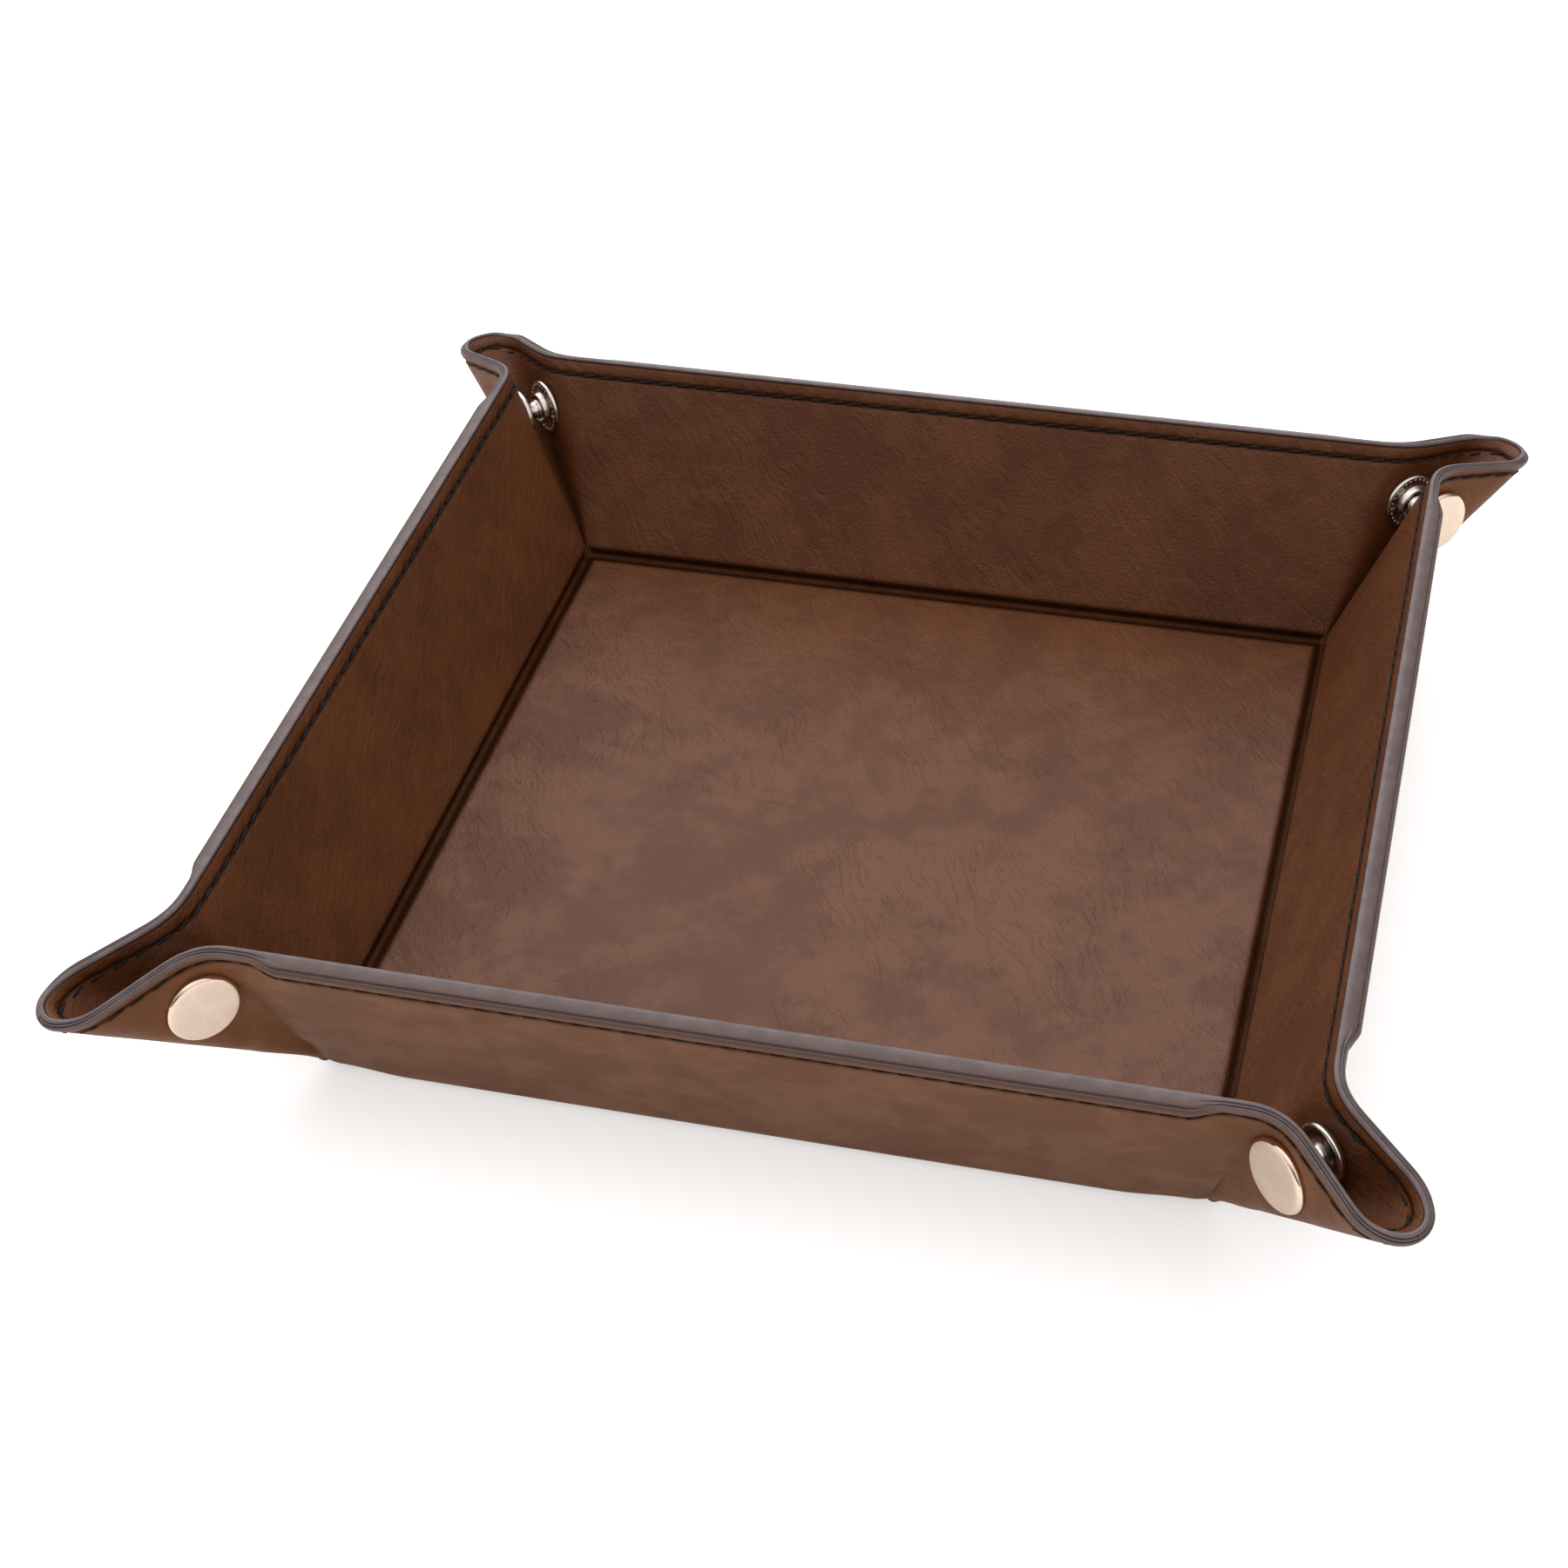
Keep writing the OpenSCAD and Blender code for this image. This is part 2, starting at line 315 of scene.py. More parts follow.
def sheet_thickness(across, inset, radius):
    """Thickness at a place: across from the wall's middle, in from the rim and up from the crease.

    The end of the board shows as a step at the rim and as a soft slope under the skin. Near the
    crease the skin is drawn in before the board ends.
    """
    slope = 8 * MM * smooth(2.5 * MM, 9 * MM, inset) * smooth(4 * MM, 14 * MM, radius)
    drawn_in = 0.4 * smooth(BOARD_END - 12 * MM, BOARD_END, across) * smooth(15 * MM, 3 * MM, radius)
    board = (1 - drawn_in) * (1 - smooth(BOARD_END, BARE_FROM + slope, across))
    return EAR_T + (DECK - EAR_T) * board


class Station:
    """A cut across the sheet from crease to rim, in its folded place and in the flat sheet."""

    def __init__(self, origin, away, out, flat_away, angle, run):
        self.origin = origin
        self.away = away
        self.out = out
        self.flat_away = flat_away
        self.angle = angle
        self.run = run
        self.reach = min(abs(run), CREASE_Y)
        self.rim_thickness = self.thickness(0, edge_radius(angle, 0))
        self.board = (self.rim_thickness - EAR_T) / (DECK - EAR_T)

    def radius(self, inset):
        return edge_radius(self.angle, inset)

    def foot(self):
        """Where the cut starts: above the crease, or inside the knob at the corner."""
        return SEAM_Y + (KNOB_R / 2 - SEAM_Y) * smooth(0, EAR_SEAM / 3, self.angle)

    def thickness(self, inset, radius):
        return sheet_thickness(self.reach + radius * math.sin(self.angle), inset, radius)

    def point(self, radius, depth):
        return self.origin + self.away * radius + self.out * depth

    def flat(self, radius, depth):
        """The same place with every fold opened."""
        return self.origin + self.flat_away * radius - UP * depth


def wall_station(wall, run):
    origin = wall.middle + wall.along * run
    return Station(origin, wall.up, wall.out, wall.flat_out, 0.0, run)


def ear_station(ear, angle):
    away, _, out = ear.frame_at(angle).T
    flat_away = ear.wall.flat_out * math.cos(angle) + ear.side * math.sin(angle)
    run = CREASE_Y + np.interp(angle, RUN_ANGLES, RUNS)
    return Station(ear.corner, away, out, flat_away, angle, run)


def station_at(wall, ear, run):
    """Station at a run along the rim, counted from the middle of the wall towards the ear."""
    if run <= CREASE_Y:
        return wall_station(wall, run * ear.end)
    return ear_station(ear, float(np.interp(run - CREASE_Y, RUNS, RUN_ANGLES)))


# ---- Cross-section of the sheet ----

GOLDEN_TURN = math.pi * (3 - math.sqrt(5))


def unevenness(flat, phase):
    """Slow rise and fall of soft leather, from waves that cross at the golden angle."""
    total = 0.0
    for k in range(6):
        turn = k * GOLDEN_TURN + phase
        wave = 2 * math.pi / ((9 + 6 * k) * MM)
        total += math.sin(wave * (flat[0] * math.cos(turn) + flat[1] * math.sin(turn)) + k + phase)
    return total / 6


def dip(value, centre, width):
    """Bell curve of height 1 about a centre."""
    return math.exp(-((value - centre) / width) ** 2)


def rim_groove(share, board):
    """Depth, from 0 to 1, of the joints between layers that show through the edge paint."""
    over_board = dip(share, 0.78, 0.04)
    bare = dip(share, 0.44, 0.05) + dip(share, 0.68, 0.05)
    return board * over_board + (1 - board) * bare


def rim_inset(share, board):
    """How far the painted edge lies in from the outline, at a share of the thickness."""
    rounding = 0.5 * MM * abs(2 * share - 1) ** 5
    return rounding + 0.28 * MM * rim_groove(share, board)


# Rows of a cross-section: shares of the rim, insets in mm beside each seam, and the plain face
RIM_SHARES = np.linspace(0, 1, 27)
LINING_SEAM_ROWS = [5.4, 4.6, 4.15, 3.85, 3.65, 3.5, 3.35, 3.15, 2.7, 2.0, 1.4, 1.05, 0.85, 0.7]
SKIN_SEAM_ROWS = [0.75, 1.2, 1.6, 1.9, 2.15, 2.3, 2.45, 2.7, 3.1, 3.7, 4.5, 5.4]
FACE_ROWS = 16
FACE_END = 6 * MM


def snap_press(ear, station, radius, depth):
    """How far the leather is pressed in under a snap."""
    if ear is None:
        return 0.0
    offset = station.point(radius, depth) - snap_centre[ear.name]
    offset = offset - ear.normal * (offset @ ear.normal)
    return SNAP_DIMPLE * smooth(8.0 * MM, 5.6 * MM, np.linalg.norm(offset))


def face_row(station, ear, radius, side):
    """A row of the lining or the skin: radius, depth, inset, groove and side."""
    inset = station.radius(0) - radius
    fade = smooth(SEAM_Y, 3 * SEAM_Y, radius) * smooth(0.8 * MM, 5 * MM, inset)
    soft = WALL_SOFTNESS * fade * unevenness(station.flat(radius, 0), 1.0 + side)
    # groove sinks the face and also darkens its colour: painted shade in the seam groove, and on the lining beside
    # the rim
    if side == LINING:
        groove = max(dip(inset, NEEDLE_IN, 0.5 * MM), 0.7 * dip(inset, 0.85 * MM, 0.18 * MM))
        depth = SEAM_DIP * groove + soft + snap_press(ear, station, radius, 0.0)
    else:
        groove = dip(inset, BOBBIN_IN, 0.5 * MM)
        full = station.thickness(inset, radius)
        depth = full - SEAM_DIP * groove + soft - snap_press(ear, station, radius, full)
    return radius, depth, inset, groove, side


def section(station, ear=None):
    """Closed outline of the sheet at a station: lining upwards, round the rim, and down the skin."""
    face = list(np.linspace(station.foot(), station.radius(FACE_END), FACE_ROWS))
    lining = face + [station.radius(inset * MM) for inset in LINING_SEAM_ROWS]
    skin = [station.radius(inset * MM) for inset in SKIN_SEAM_ROWS] + face[::-1]
    rows = [face_row(station, ear, radius, LINING) for radius in lining]
    for share in RIM_SHARES:
        inset = rim_inset(share, station.board)
        groove = rim_groove(share, station.board)
        rows.append((station.radius(inset), share * station.rim_thickness, inset, groove, EDGE))
    rows += [face_row(station, ear, radius, SKIN) for radius in skin]
    return rows


# ---- Mesh helpers ----

def new_object(name, vertices, faces, materials, face_materials=None):
    """Smooth-shaded mesh object; face_materials gives the material slot of each face."""
    mesh = bpy.data.meshes.new(name)
    mesh.from_pydata([tuple(v) for v in vertices], [], faces)
    for material in materials:
        mesh.materials.append(material)
    if face_materials is not None:
        mesh.polygons.foreach_set("material_index", face_materials)
    mesh.polygons.foreach_set("use_smooth", [True] * len(faces))
    mesh.update()
    obj = bpy.data.objects.new(name, mesh)
    bpy.context.scene.collection.objects.link(obj)
    return obj


def point_attribute(obj, name, kind, values):
    attribute = obj.data.attributes.new(name, kind, "POINT")
    field = "vector" if kind == "FLOAT_VECTOR" else "value"
    attribute.data.foreach_set(field, np.array(values, np.float32).ravel())


def loft(name, rings, materials, mirrored=False):
    """Skins closed rings of points.

    Each point of a ring is (place, place in the flat sheet, run, inset, groove, part of the section).
    """
    count = len(rings[0])
    parts = [point[-1] for point in rings[0]]
    vertices, flats, rims, grooves = [], [], [], []

    def add(ring):
        first = len(vertices)
        for place, flat, run, inset, groove, _ in ring:
            vertices.append(place)
            flats.append(flat / MM)
            rims.append((abs(run) / MM, inset / MM, (DECK - flat[2]) / MM))
            grooves.append(groove)
        return first

    starts = [add(ring) for ring in rings]
    faces, slots = [], []
    for i in range(count):
        j = (i + 1) % count
        sides = {parts[i], parts[j]}
        strip = [(start + i, start + j) for start in starts]
        # Cut faces and end caps have their own vertices, so that they don't bend the shading
        if sides == {LINING, SKIN}:
            cuts = [add([ring[i], ring[j]]) for ring in rings]
            strip = [(first, first + 1) for first in cuts]
        for (a, b), (c, d) in zip(strip, strip[1:]):
            faces.append((a, b, d, c))
            slots.append(EDGE if EDGE in sides else max(sides))
    for ring, flip in ((rings[0], True), (rings[-1], False)):
        first = add(ring)
        half = count // 2
        for i in range(half - 1):
            j = count - 1 - i
            quad = (first + i, first + i + 1, first + j - 1, first + j)
            faces.append(quad[::-1] if flip else quad)
            slots.append(SKIN)
    if mirrored:
        faces = [face[::-1] for face in faces]
    obj = new_object(name, vertices, faces, materials, slots)
    point_attribute(obj, "sheet", "FLOAT_VECTOR", flats)
    point_attribute(obj, "rim", "FLOAT_VECTOR", rims)
    point_attribute(obj, "groove", "FLOAT", grooves)
    return obj


def sheet_rings(stations, ear=None):
    """Cross-sections of the sheet at a list of stations."""
    rings = []
    for station in stations:
        ring = []
        for radius, depth, inset, groove, material in section(station, ear):
            place = station.point(radius, depth)
            ring.append((place, station.flat(radius, depth), station.run, inset, groove, material))
        rings.append(ring)
    return rings


def spaced(low, high, step):
    """Even places from low to high, about a step apart."""
    return np.linspace(low, high, max(2, round((high - low) / step) + 1))


def arc(centre_r, centre_h, radius, start, end, steps):
    """Points of an arc in an outline; angles in degrees from the outward direction."""
    turns = np.radians(np.linspace(start, end, steps))
    return [(centre_r + radius * math.cos(a), centre_h + radius * math.sin(a)) for a in turns]


def side_vectors(axis):
    """Two directions square to an axis and to each other."""
    across = unit(np.cross(axis, UP))
    return across, np.cross(axis, across)


def spokes(across, other, count):
    """Directions round a circle, from across towards other."""
    turns = [2 * math.pi * k / count for k in range(count)]
    return [across * math.cos(turn) + other * math.sin(turn) for turn in turns]


def revolved(name, centre, axis, outline, segments, materials):
    """Turns an outline of (radius, height) in mm about an axis. It starts and ends on the axis."""
    around = spokes(*side_vectors(axis), segments)
    vertices = [centre + axis * outline[0][1] * MM]
    for radius, height in outline[1:-1]:
        for spoke in around:
            vertices.append(centre + (axis * height + spoke * radius) * MM)
    vertices.append(centre + axis * outline[-1][1] * MM)
    last = len(vertices) - 1
    lowest = last - segments
    faces = []
    for k in range(segments):
        n = (k + 1) % segments
        faces.append((0, 1 + k, 1 + n))
        for a in range(1, lowest, segments):
            faces.append((a + k, a + segments + k, a + segments + n, a + n))
        faces.append((lowest + k, last, lowest + n))
    return new_object(name, vertices, faces, materials)


def join(name, parts):
    """Joins meshes into one piece."""
    with bpy.context.temp_override(active_object=parts[0], selected_editable_objects=parts):
        bpy.ops.object.join()
    parts[0].name = name
    return parts[0]


# ---- Materials ----

class Nodes:
    """Adds nodes to a node tree. Each helper returns the socket of its result."""

    def __init__(self, tree):
        self.tree = tree

    def add(self, kind, inputs, **settings):
        node = self.tree.nodes.new(kind)
        for key, value in settings.items():
            setattr(node, key, value)
        self.connect(node, inputs)
        return node

    def connect(self, node, inputs):
        for key, value in inputs.items():
            if isinstance(value, bpy.types.NodeSocket):
                self.tree.links.new(value, node.inputs[key])
            else:
                node.inputs[key].default_value = value

    def attribute(self, name, output="Vector"):
        return self.add("ShaderNodeAttribute", {}, attribute_name=name).outputs[output]

    def place(self):
        """Place on the object, in mm."""
        where = self.add("ShaderNodeTexCoord", {}).outputs["Object"]
        return self.vector("MULTIPLY", where, (1 / MM, 1 / MM, 1 / MM))

    def noise(self, vector, scale, detail=2.0, roughness=0.5, output="Fac"):
        inputs = {"Vector": vector, "Scale": scale, "Detail": detail, "Roughness": roughness}
        return self.add("ShaderNodeTexNoise", inputs).outputs[output]

    def calc(self, operation, a, b=0.0):
        return self.add("ShaderNodeMath", {0: a, 1: b}, operation=operation).outputs[0]

    def product(self, *terms):
        result = terms[0]
        for term in terms[1:]:
            result = self.calc("MULTIPLY", result, term)
        return result

    def vector(self, operation, a, b, output=0):
        return self.add("ShaderNodeVectorMath", {0: a, 1: b}, operation=operation).outputs[output]

    def total(self, *terms):
        """Sum of (socket, weight) pairs."""
        result = 0.0
        for socket, weight in terms:
            node = self.add("ShaderNodeMath", {0: socket, 1: weight, 2: result}, operation="MULTIPLY_ADD")
            result = node.outputs[0]
        return result

    def ramp(self, value, low, high, to_low=0.0, to_high=1.0):
        inputs = {"Value": value, "From Min": low, "From Max": high, "To Min": to_low, "To Max": to_high}
        node = self.add("ShaderNodeMapRange", inputs, clamp=True, interpolation_type="SMOOTHSTEP")
        return node.outputs["Result"]

    def mix(self, factor, a, b):
        return self.add("ShaderNodeMix", {0: factor, 6: a, 7: b}, data_type="RGBA").outputs[2]

    def bump(self, height):
        """Surface direction from a height in mm."""
        return self.add("ShaderNodeBump", {"Height": height, "Distance": MM}).outputs["Normal"]


class Material(Nodes):
    """A node material around one principled surface."""

    def __init__(self, name):
        self.material = bpy.data.materials.new(name)
        self.material.use_nodes = True
        super().__init__(self.material.node_tree)

    def finish(self, color, roughness, height, **others):
        inputs = {"Base Color": color, "Roughness": roughness, "Normal": self.bump(height)}
        inputs.update({key.replace("_", " "): value for key, value in others.items()})
        self.connect(self.tree.nodes["Principled BSDF"], inputs)
        return self.material


def srgb(red, green, blue):
    """Linear colour from an 8-bit screen colour."""
    return tuple((c / 255) ** 2.2 for c in (red, green, blue)) + (1.0,)


# The grain of the whole sheet runs this way, turned from the line front to back
GRAIN_TURN = math.radians(30)


def wrinkles(m, sheet):
    """Broken wavy wrinkles along the grain, from 0 to 1, and the soft ripples between them."""
    sway = m.vector("MULTIPLY", m.noise(sheet, 0.05, 2.0, 0.5, "Color"), (14, 14, 0))
    jitter = m.vector("MULTIPLY", m.noise(sheet, 0.30, 2.0, 0.5, "Color"), (1.6, 1.6, 0))
    wavy = m.vector("ADD", m.vector("ADD", sheet, sway), jitter)
    inputs = {"Vector": wavy, "Rotation": (0, 0, GRAIN_TURN), "Scale": (1, 6, 1)}
    along = m.add("ShaderNodeMapping", inputs, vector_type="TEXTURE").outputs[0]
    ridge = m.calc("ABSOLUTE", m.calc("SUBTRACT", m.noise(along, 0.5, 3.0, 0.55), 0.5))
    fold = m.ramp(ridge, 0.0, 0.05, 1.0, 0.0)
    broken = m.ramp(m.noise(along, 0.5, 1.0), 0.42, 0.56)
    patch = m.ramp(m.noise(sheet, 0.035, 2.0), 0.42, 0.58)
    fold = m.product(fold, broken, patch)
    ripple = m.noise(along, 0.6, 2.0, 0.5)
    return fold, ripple


def seam_pucker(m, seam_inset):
    """Swelling of the leather beside each stitch, from -1 to 1."""
    rim = m.add("ShaderNodeSeparateXYZ", {"Vector": m.attribute("rim")})
    phase = m.product(rim.outputs["X"], 2 * math.pi * MM / PITCH)
    away = m.product(m.calc("SUBTRACT", rim.outputs["Y"], seam_inset / MM), 1.3)
    near = m.calc("POWER", math.e, m.product(away, away, -1.0))
    return m.product(m.calc("COSINE", phase), near)


def leather(name, dark, light, crease, seam_inset, wrinkling, shine):
    """Waxy leatherette: cloudy colour, fine grain, wrinkles, and puckers at the stitches, with painted shade in
    the folds and grooves and a painted highlight on the puckers.
    """
    m = Material(name)
    sheet = m.attribute("sheet")
    groove = m.attribute("groove", "Fac")
    clouds = m.noise(sheet, 0.045, 3.0, 0.6)
    patches = m.noise(sheet, 0.16, 3.0, 0.6)
    cells = m.add("ShaderNodeTexVoronoi", {"Vector": sheet, "Scale": 1.7}).outputs["Distance"]
    fine = m.noise(sheet, 2.6, 3.0, 0.65)
    fold, ripple = wrinkles(m, sheet)
    pucker = seam_pucker(m, seam_inset)

    tone = m.ramp(m.total((clouds, 0.6), (patches, 0.4)), 0.40, 0.60)
    color = m.mix(tone, dark, light)
    color = m.mix(m.product(m.ramp(fine, 0.35, 0.65), 0.12), color, light)
    # Painted shade: the wrinkle folds, which are valleys in the relief, are darkened
    color = m.mix(m.product(fold, 0.15 * wrinkling), color, crease)
    # Painted highlight: the swelling beside each stitch is lightened
    color = m.mix(m.product(m.calc("MAXIMUM", pucker, 0.0), 0.20), color, light)
    # Painted shade: darker in the creases, the seam grooves, the line beside the rim and low on the corner knobs
    color = m.mix(m.product(groove, 0.90), color, crease)
    relief = m.total((fold, -0.09), (ripple, 0.30))
    grain = m.total((cells, 0.07), (fine, 0.09), (patches, 0.2), (pucker, 0.10))
    height = m.total((relief, wrinkling), (grain, 1.0))
    roughness = m.ramp(tone, 0, 1, 0.50, 0.43)
    specular = m.ramp(groove, 0, 0.6, shine, 0.04)
    return m.finish(color, roughness, height, Specular_IOR_Level=specular)


def edge_paint():
    """Burnished edge paint, greyer towards the lining as a painted highlight on its rounded edge, with fine brush
    lines along the edge.
    """
    m = Material("edge_paint")
    sheet = m.attribute("sheet")
    groove = m.attribute("groove", "Fac")
    depth = m.add("ShaderNodeSeparateXYZ", {"Vector": m.attribute("rim")}).outputs["Z"]
    streaks = m.noise(sheet, 0.3, 3.0)
    grain = m.noise(sheet, 2.5, 2.0)
    color = m.mix(m.ramp(streaks, 0.35, 0.65), srgb(92, 78, 78), srgb(104, 89, 89))
    # Painted highlight: grey at the rounded lining-side edge, browner towards the skin
    color = m.mix(m.ramp(depth, 0.8, 3.2), color, srgb(84, 58, 48))
    color = m.mix(m.product(groove, 0.95), color, srgb(36, 20, 14))
    roughness = m.ramp(grain, 0.3, 0.7, 0.42, 0.55)
    return m.finish(color, roughness, m.total((streaks, 0.25), (grain, 0.03)))


def thread():
    """Waxed thread, twisted from strands, with a painted highlight along the crest of each strand."""
    m = Material("thread")
    strand = m.calc("SINE", m.product(m.attribute("twist", "Fac"), 2 * math.pi))
    fluff = m.noise(m.place(), 1.2, 3.0)
    # Painted highlight: each strand is lighter along its crest
    color = m.mix(m.ramp(strand, -1.0, 0.8), srgb(18, 13, 13), srgb(42, 34, 36))
    color = m.mix(m.product(m.ramp(fluff, 0.45, 0.7), 0.4), color, srgb(66, 56, 56))
    return m.finish(color, 0.7, m.total((strand, 0.05), (fluff, 0.05)), Specular_IOR_Level=0.25)


def needle_hole_shade():
    """Painted shade standing for the dark inside of a punched hole."""
    m = Material("needle_hole_shade")
    speck = m.noise(m.place(), 1.5)
    color = m.mix(speck, srgb(10, 6, 5), srgb(28, 16, 12))
    return m.finish(color, 0.9, speck)


def snap_metal(name, dull, bright, roughness):
    """Plated metal with handling haze and hairline marks."""
    m = Material(name)
    haze = m.noise(m.place(), 0.25, 4.0, 0.6)
    hairs = m.noise(m.vector("MULTIPLY", m.place(), (0.15, 0.15, 1)), 2.5, 2.0)
    color = m.mix(m.ramp(haze, 0.35, 0.65), dull, bright)
    gloss = m.ramp(haze, 0.3, 0.7, roughness + 0.04, roughness)
    return m.finish(color, gloss, m.total((hairs, 0.006)), Metallic=1.0)


def greyboard():
    """Pressed board with fibres."""
    m = Material("greyboard")
    fibre = m.noise(m.place(), 0.7, 4.0, 0.7)
    color = m.mix(fibre, srgb(112, 106, 98), srgb(150, 144, 134))
    return m.finish(color, 0.95, m.total((fibre, 0.1)))


# crease is the colour of the painted shade in grooves, creases and wrinkle folds
LINING_LEATHER = leather(
    "lining_leather",
    dark=srgb(88, 50, 27), light=srgb(101, 60, 35), crease=srgb(24, 11, 6),
    seam_inset=NEEDLE_IN, wrinkling=0.75, shine=0.33,
)
SKIN_LEATHER = leather(
    "skin_leather",
    dark=srgb(103, 62, 34), light=srgb(115, 72, 41), crease=srgb(44, 23, 12),
    seam_inset=BOBBIN_IN, wrinkling=0.4, shine=0.18,
)
EDGE_PAINT = edge_paint()
THREAD = thread()
# Dark lens material: painted shade of the needle holes
HOLE_SHADE = needle_hole_shade()
CAP_METAL = snap_metal("cap_metal", srgb(230, 205, 184), srgb(238, 215, 195), 0.12)
SNAP_METAL = snap_metal("snap_metal", srgb(200, 190, 180), srgb(228, 220, 212), 0.16)
GREYBOARD = greyboard()
SHEET_MATERIALS = [LINING_LEATHER, EDGE_PAINT, SKIN_LEATHER]


# ---- Leather pieces ----

def wall_panel(wall):
    """Straight part of a wall, from above its crease to the rim."""
    reach = CREASE_Y - SEAM_X
    stations = [wall_station(wall, run) for run in spaced(-reach, reach, PANEL_STEP)]
    panel = loft(wall.name + "_panel", sheet_rings(stations), SHEET_MATERIALS)
    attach(panel, wall.body)
    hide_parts(wall.name + "_skin", wall.name + "_lining")


def ear_bend(ear):
    """From the wall, round the first soft bend, to the middle of the flank."""
    runs = spaced(CREASE_Y - SEAM_X, CREASE_Y, 0.4 * MM)
    stations = [wall_station(ear.wall, ear.end * run) for run in runs]
    stations += [ear_station(ear, angle) for angle in spaced(0, EAR_SEAM, math.radians(0.7))[1:]]
    piece = loft(ear.name + "_bend", sheet_rings(stations, ear), SHEET_MATERIALS, mirrored=ear.end < 0)
    start, end = ear.bend_ends(ear.flank_at, FLANK_GIVE)
    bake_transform(piece)
    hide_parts(ear.name + "_flank_skin", ear.name + "_flank_lining")


def ear_nose(ear):
    """From the middle of the flank, round the nose, to the diagonal."""
    fine = math.radians(0.12)
    angles = list(spaced(EAR_SEAM, DIAGONAL - 5 * fine, math.radians(0.4)))
    angles += [DIAGONAL - 2 * fine, DIAGONAL]
    rings = sheet_rings([ear_station(ear, angle) for angle in angles], ear)
    piece = loft(ear.name + "_nose_turn", rings, SHEET_MATERIALS, mirrored=ear.end < 0)
    start, end = ear.bend_ends(ear.nose_at, NOSE_GIVE)
    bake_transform(piece)
    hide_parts(ear.name + "_nose")


# The two grooves along a crease: distance from its middle line, and width
GROOVE_OUT = 0.75 * MM
GROOVE_WIDE = 0.28 * MM


def crease_depth(across):
    """Depth of the pressed crease: a shallow channel with a deeper groove along each side."""
    channel = smooth(1.8 * MM, 0.6 * MM, abs(across))
    return 0.5 * MM * channel + 0.5 * MM * dip(abs(across), GROOVE_OUT, GROOVE_WIDE)


def crease_painted_shade(across):
    """Painted shade of the crease, from 0 to 1: deepest in the grooves, with soft borders."""
    border = smooth(2.8 * MM, 0.9 * MM, abs(across))
    return 0.7 * border + 0.3 * dip(abs(across), GROOVE_OUT, GROOVE_WIDE)


def crease_place(wall, run, across, depth):
    """A point of the bent crease, from its place across the crease and its depth in the sheet."""
    base = wall.middle + wall.along * run
    if across <= -CREASE_HALF:
        return base + wall.flat_out * across - UP * depth
    if across >= CREASE_HALF:
        return base + wall.up * across + wall.out * depth
    turn = TILT * (across + CREASE_HALF) / (2 * CREASE_HALF)
    centre = base - wall.flat_out * CREASE_HALF + UP * CREASE_R
    return centre + (wall.flat_out * math.sin(turn) - UP * math.cos(turn)) * (CREASE_R + depth)


def crease_strip(wall):
    """Bent strip of sheet between the floor and a wall."""
    lining_rows = np.linspace(-SEAM_Y, SEAM_Y, 37)
    skin_rows = np.linspace(SEAM_Y, -SEAM_Y, 17)
    rings = []
    # Shares of the half length; the sine sets the rings closer together towards the ends
    for share in np.sin(np.linspace(-math.pi / 2, math.pi / 2, 110)):
        at_wall = sheet_thickness(abs(share) * CREASE_Y, WALL_H, 0)
        rows = [(across, crease_depth(across), LINING) for across in lining_rows]
        for across in skin_rows:
            rows.append((across, at_wall + (DECK - at_wall) * smooth(0, -SEAM_Y, across), SKIN))
        ring = []
        for across, depth, side in rows:
            # Painted shade of the crease, on the lining only
            groove = crease_painted_shade(across) if side == LINING else 0.0
            run = share * (CREASE_Y + min(across, 0))
            place = crease_place(wall, run, across, depth)
            flat = wall.middle + wall.along * run + wall.flat_out * across - UP * depth
            ring.append((place, flat, run, WALL_H - across, groove, side))
        rings.append(ring)
    piece = loft(wall.name + "_crease", rings, SHEET_MATERIALS)
    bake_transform(piece)


def floor_panel():
    """Floor between the creases: lining above, skin below."""
    edge = CREASE_Y - SEAM_Y
    places = spaced(-edge, edge, PANEL_STEP)
    count = len(places)
    vertices, flats, faces, slots = [], [], [], []
    for level, slot in ((DECK, 0), (0.0, 1)):
        first = len(vertices)
        for y in places:
            for x in places:
                inside = min(edge - abs(x), edge - abs(y))
                soft = FLOOR_SOFTNESS * smooth(0, 8 * MM, inside) * unevenness((x, y), 4.0)
                vertices.append((x, y, level + (soft if slot == 0 else 0)))
                flats.append((x / MM, y / MM, level / MM))
        for row in range(count - 1):
            for col in range(count - 1):
                a = first + row * count + col
                quad = (a, a + 1, a + count + 1, a + count)
                faces.append(quad if slot == 0 else quad[::-1])
                slots.append(slot)
    piece = new_object("floor_panel", vertices, faces, [LINING_LEATHER, SKIN_LEATHER], slots)
    point_attribute(piece, "sheet", "FLOAT_VECTOR", flats)
    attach(piece, "base")
    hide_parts("base_skin", "base_lining")


